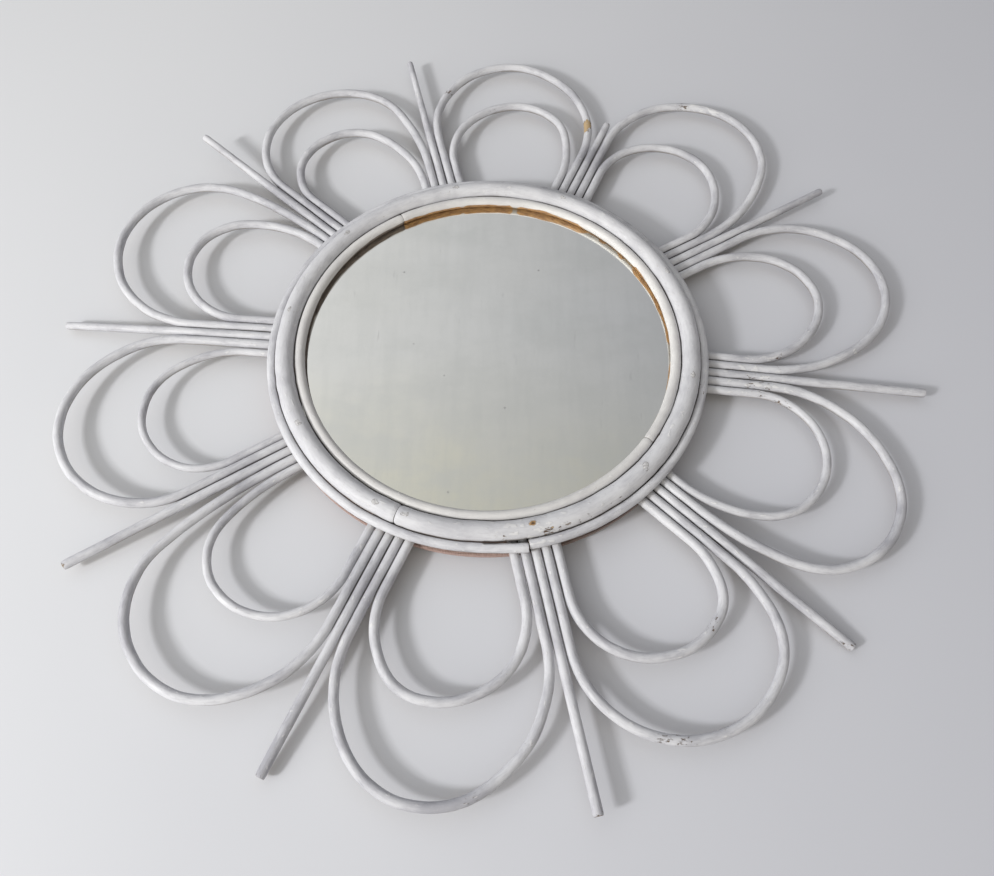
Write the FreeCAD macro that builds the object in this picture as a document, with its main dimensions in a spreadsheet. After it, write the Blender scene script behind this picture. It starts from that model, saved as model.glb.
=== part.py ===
import FreeCAD, Part
import Sketcher
import math
import os

os.makedirs("parts", exist_ok=True)
doc = FreeCAD.newDocument("rattan_sunburst_mirror")
vector = FreeCAD.Vector
UP = vector(0, 0, 1)

# Driving sizes in millimetres and degrees, one named cell each
sheet = doc.addObject("Spreadsheet::Sheet", "Sizes")
cells = []


def size(name, number):
    cells.append(name)
    cell = "B%d" % len(cells)
    sheet.set("A%d" % len(cells), name)
    sheet.set(cell, str(number))
    sheet.setAlias(cell, name)


# Canes and the bundles they run in
size("cane_diameter", 8)
size("lane_gap", 0.2)
size("cane_tail", 22)
size("seat_gap", 0.1)
size("first_bundle", -6)
size("bundle_step", 36)
size("outer_fill", 0.86)
size("inner_fill", 0.84)
size("outer_reach", 172)
size("inner_setback", 65)
size("spoke_reach", 184)
size("bow_start", 30)

# Rings, glass, packing and board
size("main_ring_radius", 170)
size("main_ring_diameter", 16)
size("inner_ring_diameter", 9)
size("outer_ring_diameter", 8)
size("joint_gap", 0.4)
size("main_joint", -113.5)
size("outer_joint", -80)
size("sprung_turn", 12)
size("sprung_radius", 520)
size("inner_joint_low", -36)
size("inner_joint_high", 120)
size("glass_thickness", 3)
size("glass_margin", 1.5)
size("packing_margin", 4)
size("board_thickness", 4)
size("board_lip", 5)

# Nails, brads and tacks
size("pin_clearance", 0.05)
size("ring_nail_diameter", 1.8)
size("ring_nail_head", 4)
size("ring_nail_head_depth", 1)
size("ring_nail_sink", 0.2)
size("ring_nail_bite", 2)
size("brad_diameter", 1.4)
size("brad_sink", 0.4)
size("outer_brad_bite", 6)
size("inner_brad_bite", 5)
size("tack_diameter", 1.6)
size("tack_head", 5)
size("tack_head_depth", 0.8)
size("tack_bite", 5)
size("tack_inset", 10)

# Hanger on the back
size("hanger_inset", 61)
size("wire_diameter", 2.5)
size("wire_clearance", 0.05)
size("strap_thickness", 1)
size("strap_width", 12)
size("strap_length", 24)
size("loop_play", 1)
size("loop_depth", 18)
size("loop_corner", 3)
size("rivet_diameter", 3.2)
size("rivet_head", 6)
size("rivet_head_depth", 1)
size("rivet_edge", 7)
size("bumper_diameter", 20)
size("bumper_inset", 49)
size("bumper_turn", 45)

# Handmade differences of each bundle: turn from the even step, and reach of its spoke
BUNDLES = [
    (-0.5, -2.5),
    (0, -7),
    (0.5, -76.5),
    (1, -3),
    (0, -2),
    (1.5, 1),
    (1, 4.3),
    (0, 6.5),
    (-0.5, 5.5),
    (-2, -1.3),
]
# Spokes bowed out of the flat, by number: how far the tip sinks, and how far it sways to the next bundle
BOWS = {1: (3, 2), 5: (-8, 4), 6: (8, -3.2), 7: (5.5, -2.3), 8: (8.5, -2.4), 10: (8, 3.7)}
# Handmade differences of each bent cane: drop of its two shoulders, reach, lean of its crown, thinness
OUTER_BENDS = [
    (43, 17, 1, -6, 0),
    (48, 12, 8, -4, 0),
    (26, 17, -6, -6, 0),
    (55, 5, -6, 2, 0),
    (81, 14, 2, 0, 0),
    (15, 9, 0, 0, 0),
    (92, 22, 9, 0, 0),
    (22, 28, 7, 5, 0),
    (16, 33, -7, -22, 0),
    (66, 32, -3, 7, 0),
]
INNER_BENDS = [
    (19, 23, 3, -2, 0),
    (17, 7, 5, -2, 0),
    (30, 15, 3, 4, 0),
    (40, 4, 2, -5, 0),
    (39, 11, -4, -3, 0),
    (25, 4, -2, -1, 1.4),
    (45, 10, 0, 4, 1),
    (17, 15, 3, 8, 0),
    (16, 20, -2, -20, 0),
    (36, 3, -1, -1, 0.8),
]
for number, (drift, reach) in enumerate(BUNDLES, 1):
    size("bundle_%02d_drift" % number, drift)
    size("spoke_%02d_reach" % number, reach)
for number, (sink, sway) in BOWS.items():
    size("spoke_%02d_sink" % number, sink)
    size("spoke_%02d_sway" % number, sway)
for layer, bends in (("outer", OUTER_BENDS), ("inner", INNER_BENDS)):
    for number, (first, second, reach, lean, thinness) in enumerate(bends, 1):
        stem = "%s_%02d_" % (layer, number)
        size(stem + "first_shoulder", first)
        size(stem + "second_shoulder", second)
        size(stem + "reach", reach)
        size(stem + "lean", lean)
        size(stem + "thinness", thinness)
doc.recompute()


def given(name):
    return float(sheet.get(name))


# Places and fits worked out from the driving sizes
fits = doc.addObject("App::VarSet", "Fits")


def fit(name, expression):
    fits.addProperty("App::PropertyFloat", name, "Fits")
    fits.setExpression(name, expression)
    doc.recompute()


fit("lane_pitch", "Sizes.cane_diameter + Sizes.lane_gap")
fit("cane_end", "Sizes.main_ring_radius - Sizes.cane_tail")
fit("cane_middle", "Sizes.board_thickness + Sizes.seat_gap + Sizes.cane_diameter / 2")
fit("cane_top", "Sizes.board_thickness + Sizes.seat_gap + Sizes.cane_diameter")
fit("glass_bottom", ".cane_top + Sizes.seat_gap")
fit("glass_top", ".glass_bottom + Sizes.glass_thickness")
fit("main_ring_middle", ".cane_top + Sizes.seat_gap + Sizes.main_ring_diameter / 2")
fit("outer_ring_middle", ".cane_top + Sizes.seat_gap + Sizes.outer_ring_diameter / 2")
fit("inner_ring_middle", ".glass_top + Sizes.seat_gap + Sizes.inner_ring_diameter / 2")
fit("outer_ring_touch", "(Sizes.main_ring_diameter + Sizes.outer_ring_diameter) / 2 + Sizes.seat_gap")
fit("inner_ring_touch", "(Sizes.main_ring_diameter + Sizes.inner_ring_diameter) / 2 + Sizes.seat_gap")
fit("outer_ring_rise", ".main_ring_middle - .outer_ring_middle")
fit("inner_ring_rise", ".main_ring_middle - .inner_ring_middle")
fit("outer_ring_radius", "Sizes.main_ring_radius + sqrt(.outer_ring_touch ^ 2 - .outer_ring_rise ^ 2)")
fit("inner_ring_radius", "Sizes.main_ring_radius - sqrt(.inner_ring_touch ^ 2 - .inner_ring_rise ^ 2)")
fit("outer_joint_turn", "Sizes.joint_gap / .outer_ring_radius * 180 / pi")
fit("sprung_start", "Sizes.outer_joint - Sizes.sprung_turn - .outer_joint_turn / 2")
fit("sprung_shift", "Sizes.sprung_radius - .outer_ring_radius")
fit("sprung_length", "(Sizes.sprung_turn - .outer_joint_turn / 2) * .outer_ring_radius")
fit("sprung_sweep", ".sprung_length / Sizes.sprung_radius")
fit("rim", ".outer_ring_radius + Sizes.outer_ring_diameter / 2")
fit("outer_reach", ".rim + Sizes.outer_reach")
fit("inner_reach", ".outer_reach - Sizes.inner_setback")
fit("glass_level", ".main_ring_middle - .glass_top")
fit("ring_half_width", "sqrt((Sizes.main_ring_diameter / 2) ^ 2 - .glass_level ^ 2)")
fit("glass_radius", "Sizes.main_ring_radius - .ring_half_width - Sizes.glass_margin")
fit("packing_radius", ".cane_end - Sizes.packing_margin")
fit("board_radius", "Sizes.main_ring_radius + Sizes.main_ring_diameter / 2 + Sizes.board_lip")
fit("hanger_height", ".board_radius - Sizes.hanger_inset")
fit("bumper_place", ".board_radius - Sizes.bumper_inset")
fit("loop_width", "Sizes.strap_width + 2 * (Sizes.loop_corner + Sizes.loop_play)")
fit("barrel_radius", "Sizes.wire_diameter / 2 + Sizes.wire_clearance + Sizes.strap_thickness")
fit("hinge_level", "-Sizes.seat_gap - .barrel_radius")
fit("bumper_height", "2 * .barrel_radius")
for number in range(1, 11):
    turn = "Sizes.first_bundle + %d * Sizes.bundle_step + Sizes.bundle_%02d_drift" % (number - 1, number)
    fit("bundle_%02d" % number, turn)
fit("bundle_11", ".bundle_01 + 360")


def fitted(name):
    return float(getattr(fits, name))


def bind(thing, expressions):
    for place, expression in expressions.items():
        thing.setExpression(place, expression)


# Directions along a bundle and across it, and a point on one of its five lanes
def along(number):
    turn = math.radians(fitted("bundle_%02d" % number))
    return vector(math.cos(turn), math.sin(turn), 0)


def across(number):
    return UP.cross(along(number))


def lane_point(number, lane, radius, level):
    return along(number) * radius + across(number) * (lane * fitted("lane_pitch")) + UP * level


def origin_plane(body, role):
    return next(item for item in body.Origin.OriginFeatures if item.Role == role)


def sketch_on(body, name, role):
    sketch = body.newObject("Sketcher::SketchObject", name)
    sketch.AttachmentSupport = [(origin_plane(body, role), "")]
    sketch.MapMode = "FlatFace"
    return sketch


def arc_between(centre, start, end):
    first = math.atan2(start.y - centre.y, start.x - centre.x)
    last = math.atan2(end.y - centre.y, end.x - centre.x)
    if last <= first:
        last += 2 * math.pi
    return Part.ArcOfCircle(Part.Circle(centre, UP, (start - centre).Length), first, last)


def line_between(start, end):
    return Part.LineSegment(start, end)


def constrain(sketch, name, kind, *rest):
    index = sketch.addConstraint(Sketcher.Constraint(kind, *rest))
    sketch.renameConstraint(index, name)
    return "Constraints." + name


# One bent cane: straight on its first lane, round shoulder, crown, shoulder, straight on its second lane
def bend_values(layer, number, lane):
    label = "%s_petal_%02d" % (layer, number)
    own = "Sizes.%s_%02d_" % (layer, number)
    bend = doc.addObject("App::VarSet", label + "_bend")
    formulas = {
        "thick": "Sizes.cane_diameter - %sthinness" % own,
        "level": "Sizes.board_thickness + Sizes.seat_gap + .thick / 2",
        "half": "(Fits.bundle_%02d - Fits.bundle_%02d) / 2" % (number + 1, number),
        "lane": "%d * Fits.lane_pitch" % lane,
        "reach": "Fits.%s_reach + %sreach" % (layer, own),
        "spare": ".reach * sin(.half) - abs(%slean) * cos(.half) - .lane" % own,
        "crown": "Sizes.%s_fill * .spare / (1 + Sizes.%s_fill * sin(.half))" % (layer, layer),
        "centre": ".reach - .crown",
        "centre_x": "%slean * cos(.half) - .centre * sin(.half)" % own,
        "centre_y": "%slean * sin(.half) + .centre * cos(.half)" % own,
        "second_foot": ".centre * cos(.half) - %slean * sin(.half)" % own,
        "first_room": "-.centre_x - .lane",
        "second_room": ".centre * sin(.half) + %slean * cos(.half) - .lane" % own,
        "first_leg": ".centre_y - %sfirst_shoulder - Fits.cane_end" % own,
        "second_leg": ".second_foot - %ssecond_shoulder - Fits.cane_end" % own,
        "end_x": ".lane * cos(2 * .half) - Fits.cane_end * sin(2 * .half)",
        "end_y": ".lane * sin(2 * .half) + Fits.cane_end * cos(2 * .half)",
    }
    for name, formula in formulas.items():
        bend.addProperty("App::PropertyFloat", name, "Bend")
        bend.setExpression(name, formula)
        doc.recompute()
    return bend


def shoulder_radius(drop, room, crown):
    return (drop ** 2 + room ** 2 - crown ** 2) / (2 * (room - crown))


def bent_cane(layer, number, lane):
    label = "%s_petal_%02d" % (layer, number)
    stem = "%s_%02d_" % (layer, number)
    bend = bend_values(layer, number, lane)
    source = bend.Name + "."
    span = math.radians(2 * bend.half)
    inward = vector(math.sin(span), -math.cos(span), 0)
    side = vector(math.cos(span), math.sin(span), 0)
    crown = vector(bend.centre_x, bend.centre_y, 0)
    start = vector(-bend.lane, fitted("cane_end"), 0)
    end = vector(bend.end_x, bend.end_y, 0)
    first_leave = start + vector(0, bend.first_leg, 0)
    second_leave = end - inward * bend.second_leg
    first_radius = shoulder_radius(given(stem + "first_shoulder"), bend.first_room, bend.crown)
    second_radius = shoulder_radius(given(stem + "second_shoulder"), bend.second_room, bend.crown)
    first_centre = first_leave - vector(first_radius, 0, 0)
    second_centre = second_leave + side * second_radius
    first_meet = crown + (crown - first_centre).normalize() * bend.crown
    second_meet = crown + (crown - second_centre).normalize() * bend.crown

    body = doc.addObject("PartDesign::Body", label + "_cane")
    path = sketch_on(body, label + "_path", "XY_Plane")
    path.setExpression("AttachmentOffset.Base.z", source + "level")
    path.addGeometry([
        line_between(start, first_leave),
        arc_between(first_centre, first_leave, first_meet),
        arc_between(crown, first_meet, second_meet),
        arc_between(second_centre, second_meet, second_leave),
        line_between(second_leave, end),
    ], False)
    for piece in range(4):
        path.addConstraint(Sketcher.Constraint("Tangent", piece, 2, piece + 1, 1))
    path.addConstraint(Sketcher.Constraint("Vertical", 0))
    bind(path, {
        constrain(path, "lane", "DistanceX", 0, 1, -1, 1, bend.lane): source + "lane",
        constrain(path, "cane_end", "DistanceY", -1, 1, 0, 1, start.y): "Fits.cane_end",
        constrain(path, "first_leg", "Distance", 0, bend.first_leg): source + "first_leg",
        constrain(path, "crown", "Radius", 2, bend.crown): source + "crown",
        constrain(path, "centre_x", "DistanceX", 2, 3, -1, 1, -crown.x): "-" + source + "centre_x",
        constrain(path, "centre_y", "DistanceY", -1, 1, 2, 3, crown.y): source + "centre_y",
        constrain(path, "end_x", "DistanceX", 4, 2, -1, 1, -end.x): "-" + source + "end_x",
        constrain(path, "end_y", "DistanceY", -1, 1, 4, 2, end.y): source + "end_y",
        constrain(path, "second_leg", "Distance", 4, bend.second_leg): source + "second_leg",
        constrain(path, "span", "Angle", 4, span - math.pi / 2): "2 * %shalf - 90" % source,
    })
    profile = sketch_on(body, label + "_profile", "XZ_Plane")
    profile.setExpression("AttachmentOffset.Base.z", "-Fits.cane_end")
    middle = vector(-bend.lane, bend.level, 0)
    profile.addGeometry(Part.Circle(middle, UP, bend.thick / 2), False)
    bind(profile, {
        constrain(profile, "thick", "Diameter", 0, bend.thick): source + "thick",
        constrain(profile, "lane", "DistanceX", 0, 3, -1, 1, bend.lane): source + "lane",
        constrain(profile, "level", "DistanceY", -1, 1, 0, 3, middle.y): source + "level",
    })
    doc.recompute()
    pipe = body.newObject("PartDesign::AdditivePipe", label + "_pipe")
    pipe.Profile = profile
    pipe.Spine = path
    body.Tip = pipe
    body.setExpression("Placement.Rotation.Angle", "Fits.bundle_%02d - 90" % number)
    doc.recompute()
    return body


# Fasteners of one kind as one group, and the holes they sit in
def pin(base, axis, radius, length, head_radius, head_length, lead):
    start = base - axis * lead
    shank = Part.makeCylinder(radius, length + lead, start, axis)
    if not head_length:
        return shank
    return shank.fuse(Part.makeCylinder(head_radius, head_length + lead, start, axis))


def fasteners(label, places, shank, head, head_length):
    loose = given("pin_clearance")
    pins = []
    holes = []
    for base, axis, length in places:
        pins.append(pin(base, axis, shank / 2, length, head / 2, head_length, 0))
        holes.append(pin(base, axis, shank / 2 + loose, length + loose, head / 2 + loose, head_length, 2))
    group = doc.addObject("Part::Feature", label)
    group.Shape = Part.makeCompound(pins)
    room = doc.addObject("Part::Feature", label + "_holes")
    room.Shape = Part.makeCompound(holes)
    return group, room


def together(label, things):
    bundle = doc.addObject("Part::Compound", label)
    bundle.Links = things
    return bundle


def drilled(label, base, tool):
    cut = doc.addObject("Part::Cut", label)
    cut.Base = base
    cut.Tool = tool
    doc.recompute()
    return cut


# Nails stand on one cane of each bundle, and either side of a ring's joint where it lies on a bundle
ring_top = fitted("main_ring_middle") + given("main_ring_diameter") / 2 - given("ring_nail_sink")
ring_nail_length = ring_top - given("ring_nail_bite")
main_nails = [
    (1, -2), (2, -2), (3, 0), (4, -1), (5, 0), (6, -2), (7, -1), (8, -2), (8, 1), (9, 0), (10, 0)]
ring_nail_places = []
for number, lane in main_nails:
    base = lane_point(number, lane, given("main_ring_radius"), ring_top)
    ring_nail_places.append((base, -UP, ring_nail_length))
ring_nails, ring_nail_holes = fasteners(
    "ring_nails", ring_nail_places, given("ring_nail_diameter"), given("ring_nail_head"),
    given("ring_nail_head_depth"))

outer_top = fitted("outer_ring_middle") + given("outer_ring_diameter") / 2 - given("brad_sink")
outer_bite = outer_top - fitted("cane_top") + given("outer_brad_bite")
outer_nails = [(number, 0) for number in (1, 2, 3, 4, 5, 6, 7, 8, 10)] + [(9, -2), (9, 1)]
outer_places = []
for number, lane in outer_nails:
    base = lane_point(number, lane, fitted("outer_ring_radius"), outer_top)
    outer_places.append((base, -UP, outer_bite))
outer_brads, outer_brad_holes = fasteners("outer_ring_brads", outer_places, given("brad_diameter"), 0, 0)

inner_start = fitted("inner_ring_radius") - given("inner_ring_diameter") / 2 + given("brad_sink")
inner_touch = given("main_ring_radius") - given("main_ring_diameter") / 2
inner_length = inner_touch + given("inner_brad_bite") - inner_start
inner_places = []
for number in range(10):
    turn = given("first_bundle") + (number + 0.25) * given("bundle_step")
    outward = vector(math.cos(math.radians(turn)), math.sin(math.radians(turn)), 0)
    base = outward * inner_start + UP * fitted("inner_ring_middle")
    inner_places.append((base, outward, inner_length))
inner_brads, inner_brad_holes = fasteners("inner_ring_brads", inner_places, given("brad_diameter"), 0, 0)

tack_radius = fitted("cane_end") + given("tack_inset")
tack_length = given("board_thickness") + given("tack_bite")
tack_places = []
for number in range(1, 11):
    for lane in (-2, -1, 0, 1, 2):
        tack_places.append((lane_point(number, lane, tack_radius, 0), UP, tack_length))
board_tacks, tack_holes = fasteners(
    "board_tacks", tack_places, given("tack_diameter"), given("tack_head"), given("tack_head_depth"))

rivet_level = -given("seat_gap") - given("strap_thickness") - given("rivet_head_depth")
rivet_places = []
for drop in (given("rivet_edge"), given("strap_length") - given("rivet_edge")):
    height = fitted("hanger_height") - drop
    rivet_places.append((vector(0, height, rivet_level), UP, given("board_thickness") - rivet_level))
hanger_rivets, rivet_holes = fasteners(
    "hanger_rivets", rivet_places, given("rivet_diameter"), given("rivet_head"), given("rivet_head_depth"))

cane_holes = together("cane_holes", [tack_holes, ring_nail_holes, outer_brad_holes])
board_holes = together("board_holes", [tack_holes, ring_nail_holes, rivet_holes])
main_ring_holes = together("main_ring_holes", [ring_nail_holes, inner_brad_holes])

# The free end of a bowed spoke: one long even bend that leaves the straight end without a kink
def bowed_end(number):
    label = "spoke_%02d" % number
    own = "Sizes.%s_" % label
    bow = "sqrt(%ssink ^ 2 + %ssway ^ 2)" % (own, own)
    free = "(Sizes.spoke_reach + %sreach - Sizes.bow_start)" % own
    end = doc.addObject("Part::Torus", label + "_bow")
    bind(end, {
        "Radius1": "%s ^ 2 / (2 * %s)" % (free, bow),
        "Radius2": "Sizes.cane_diameter / 2",
        "Angle3": "2 * %s / %s * 180 / pi" % (bow, free),
    })
    doc.recompute()
    heading = along(number)
    outside = (UP * given(label + "_sink") - across(number) * given(label + "_sway")).normalize()
    foot = lane_point(number, 0, fitted("rim") + given("bow_start"), fitted("cane_middle"))
    turn = FreeCAD.Rotation(outside, heading, outside.cross(heading))
    end.Placement = FreeCAD.Placement(foot - outside * end.Radius1.Value, turn)
    return end


# Petals and spokes
nodes = []
for layer, lane in (("outer", 1), ("inner", 2)):
    for number in range(1, 11):
        cane = bent_cane(layer, number, lane)
        nodes.append(drilled("%s_petal_%02d" % (layer, number), cane, cane_holes))
for number in range(1, 11):
    label = "spoke_%02d" % number
    straight = "Sizes.bow_start" if number in BOWS else "Sizes.spoke_reach + Sizes.%s_reach" % label
    stick = doc.addObject("Part::Cylinder", label + "_cane")
    bind(stick, {
        "Radius": "Sizes.cane_diameter / 2",
        "Height": "Fits.rim + %s - Fits.cane_end" % straight,
    })
    foot = lane_point(number, 0, fitted("cane_end"), fitted("cane_middle"))
    stick.Placement = FreeCAD.Placement(foot, FreeCAD.Rotation(UP, along(number)))
    if number in BOWS:
        length = doc.addObject("Part::Fuse", label + "_length")
        length.Base = stick
        length.Tool = bowed_end(number)
        stick = length
    nodes.append(drilled(label, stick, cane_holes))


# Rings: bent lengths that stop short of each other by the joint gap
def bent_length(label, radius, thickness, level, start, sweep):
    ring = doc.addObject("Part::Torus", label + "_cane")
    gap = "(Sizes.joint_gap / (%s) * 180 / pi)" % radius
    bind(ring, {
        "Radius1": radius,
        "Radius2": "%s / 2" % thickness,
        "Angle3": "%s - %s" % (sweep, gap),
        "Placement.Base.z": level,
        "Placement.Rotation.Angle": "%s + %s / 2" % (start, gap),
    })
    return ring


def ring_length(label, radius, thickness, level, start, sweep, holes):
    return drilled(label, bent_length(label, radius, thickness, level, start, sweep), holes)


nodes.append(ring_length(
    "main_ring", "Sizes.main_ring_radius", "Sizes.main_ring_diameter", "Fits.main_ring_middle",
    "Sizes.main_joint", "360", main_ring_holes))

# The outer ring's last length has sprung out to a wider bend and stands off the main ring at the joint
held = bent_length(
    "outer_ring_held", "Fits.outer_ring_radius", "Sizes.outer_ring_diameter", "Fits.outer_ring_middle",
    "Sizes.outer_joint", "(360 - Sizes.sprung_turn)")
sprung = doc.addObject("Part::Torus", "outer_ring_sprung_cane")
bind(sprung, {
    "Radius1": "Sizes.sprung_radius",
    "Radius2": "Sizes.outer_ring_diameter / 2",
    "Angle3": "Fits.sprung_sweep",
    "Placement.Base.x": "-Fits.sprung_shift * cos(Fits.sprung_start)",
    "Placement.Base.y": "-Fits.sprung_shift * sin(Fits.sprung_start)",
    "Placement.Base.z": "Fits.outer_ring_middle",
    "Placement.Rotation.Angle": "Fits.sprung_start",
})
outer_length = doc.addObject("Part::Fuse", "outer_ring_length")
outer_length.Base = held
outer_length.Tool = sprung
nodes.append(drilled("outer_ring", outer_length, outer_brad_holes))
nodes.append(ring_length(
    "inner_ring_right", "Fits.inner_ring_radius", "Sizes.inner_ring_diameter", "Fits.inner_ring_middle",
    "Sizes.inner_joint_low", "(Sizes.inner_joint_high - Sizes.inner_joint_low)", inner_brad_holes))
nodes.append(ring_length(
    "inner_ring_left", "Fits.inner_ring_radius", "Sizes.inner_ring_diameter", "Fits.inner_ring_middle",
    "Sizes.inner_joint_high", "(360 - Sizes.inner_joint_high + Sizes.inner_joint_low)", inner_brad_holes))

# Glass, packing behind it, and the backing board
glass = doc.addObject("Part::Cylinder", "mirror_glass")
bind(glass, {
    "Radius": "Fits.glass_radius",
    "Height": "Sizes.glass_thickness",
    "Placement.Base.z": "Fits.glass_bottom",
})
nodes.append(glass)
packing = doc.addObject("Part::Cylinder", "card_packing")
bind(packing, {
    "Radius": "Fits.packing_radius",
    "Height": "Sizes.cane_diameter",
    "Placement.Base.z": "Sizes.board_thickness + Sizes.seat_gap",
})
nodes.append(packing)
disc = doc.addObject("Part::Cylinder", "backing_board_disc")
bind(disc, {"Radius": "Fits.board_radius", "Height": "Sizes.board_thickness"})
nodes.append(drilled("backing_board", disc, board_holes))
nodes += [ring_nails, outer_brads, inner_brads, board_tacks, hanger_rivets]

# Two bumpers low on the back, as high as the hanger, so that the back stands level
bumpers = []
for side in (-1, 1):
    bumper = doc.addObject("Part::Cylinder", "bumper_left" if side < 0 else "bumper_right")
    bind(bumper, {
        "Radius": "Sizes.bumper_diameter / 2",
        "Height": "Fits.bumper_height",
        "Placement.Base.x": "%d * Fits.bumper_place * sin(Sizes.bumper_turn)" % side,
        "Placement.Base.y": "-Fits.bumper_place * cos(Sizes.bumper_turn)",
        "Placement.Base.z": "-Sizes.seat_gap - Fits.bumper_height",
    })
    bumpers.append(bumper)
nodes.append(together("back_bumpers", bumpers))

# Hanger strap: flat plate folded into a barrel round the wire
plate = doc.addObject("Part::Box", "hanger_plate")
bind(plate, {
    "Length": "Sizes.strap_width",
    "Width": "Sizes.strap_length - Sizes.strap_thickness / 2",
    "Height": "Sizes.strap_thickness",
    "Placement.Base.x": "-Sizes.strap_width / 2",
    "Placement.Base.y": "Fits.hanger_height - Sizes.strap_length",
    "Placement.Base.z": "-Sizes.seat_gap - Sizes.strap_thickness",
})


def cross_bar(label, radius):
    bar = doc.addObject("Part::Cylinder", label)
    bar.Placement = FreeCAD.Placement(vector(0, 0, 0), FreeCAD.Rotation(UP, vector(1, 0, 0)))
    bind(bar, {
        "Radius": radius,
        "Height": "Sizes.strap_width",
        "Placement.Base.x": "-Sizes.strap_width / 2",
        "Placement.Base.y": "Fits.hanger_height",
        "Placement.Base.z": "Fits.hinge_level",
    })
    return bar


folded = doc.addObject("Part::Fuse", "hanger_folded")
folded.Base = plate
folded.Tool = cross_bar("hanger_barrel", "Fits.barrel_radius")
bore = cross_bar("hanger_bore", "Sizes.wire_diameter / 2 + Sizes.wire_clearance")
nodes.append(drilled("hanger_strap", folded, together("strap_holes", [bore, rivet_holes])))

# Hanger loop: closed wire that turns on its straight bar
loop = doc.addObject("PartDesign::Body", "hanger_loop")
half = fitted("loop_width") / 2
corner = given("loop_corner")
shoulder = given("loop_depth") - half
flat = half - corner
corners = [
    vector(0, 0, 0),
    vector(flat, 0, 0),
    vector(half, corner, 0),
    vector(half, shoulder, 0),
    vector(-half, shoulder, 0),
    vector(-half, corner, 0),
    vector(-flat, 0, 0),
]
wire_path = sketch_on(loop, "hanger_loop_path", "XY_Plane")
wire_path.addGeometry([
    line_between(corners[0], corners[1]),
    arc_between(vector(flat, corner, 0), corners[1], corners[2]),
    line_between(corners[2], corners[3]),
    arc_between(vector(0, shoulder, 0), corners[3], corners[4]),
    line_between(corners[4], corners[5]),
    arc_between(vector(-flat, corner, 0), corners[5], corners[6]),
    line_between(corners[6], corners[0]),
], False)
wire_path.addConstraint(Sketcher.Constraint("Coincident", 0, 1, -1, 1))
wire_path.addConstraint(Sketcher.Constraint("Coincident", 6, 2, -1, 1))
wire_path.addConstraint(Sketcher.Constraint("Horizontal", 0))
for piece in range(6):
    wire_path.addConstraint(Sketcher.Constraint("Tangent", piece, 2, piece + 1, 1))
wire_path.addConstraint(Sketcher.Constraint("Vertical", 2))
wire_path.addConstraint(Sketcher.Constraint("PointOnObject", 3, 3, -2))
wire_path.addConstraint(Sketcher.Constraint("Equal", 1, 5))
bind(wire_path, {
    constrain(wire_path, "corner", "Radius", 1, corner): "Sizes.loop_corner",
    constrain(wire_path, "half_width", "Radius", 3, half): "Fits.loop_width / 2",
    constrain(wire_path, "shoulder", "DistanceY", -1, 1, 3, 3, shoulder):
        "Sizes.loop_depth - Fits.loop_width / 2",
})
wire_profile = sketch_on(loop, "hanger_loop_profile", "YZ_Plane")
wire_profile.addGeometry(Part.Circle(vector(0, 0, 0), UP, given("wire_diameter") / 2), False)
wire_profile.addConstraint(Sketcher.Constraint("Coincident", 0, 3, -1, 1))
bind(wire_profile, {
    constrain(wire_profile, "thick", "Diameter", 0, given("wire_diameter")): "Sizes.wire_diameter",
})
doc.recompute()
wire = loop.newObject("PartDesign::AdditivePipe", "hanger_loop_pipe")
wire.Profile = wire_profile
wire.Spine = wire_path
loop.Tip = wire
bind(loop, {
    "Placement.Base.y": "Fits.hanger_height",
    "Placement.Base.z": "Fits.hinge_level",
})
nodes.append(loop)

# Check every object, then write one file for each node
doc.recompute()
for thing in doc.Objects:
    if "Invalid" in thing.State or "Error" in thing.State:
        raise SystemExit("not computed: " + thing.Label)
    shape = getattr(thing, "Shape", None)
    if shape is not None and thing in nodes and (shape.isNull() or not shape.isValid()):
        raise SystemExit("no valid shape: " + thing.Label)
for node in nodes:
    node.Shape.exportStep("parts/%s.step" % node.Label)
    print(node.Label, len(node.Shape.Solids), round(node.Shape.Volume, 1))
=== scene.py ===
# %% [markdown]
# The object is a round wall mirror in a flower of bent rattan cane: ten petals of two loops each, ten
# nearly straight spokes between them, and three cane rings that hold the glass. Everything was painted white
# by hand, and the paint has chipped. The measured model is loaded first, because every visible piece
# has to lie exactly where that model says, in metres.

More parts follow.
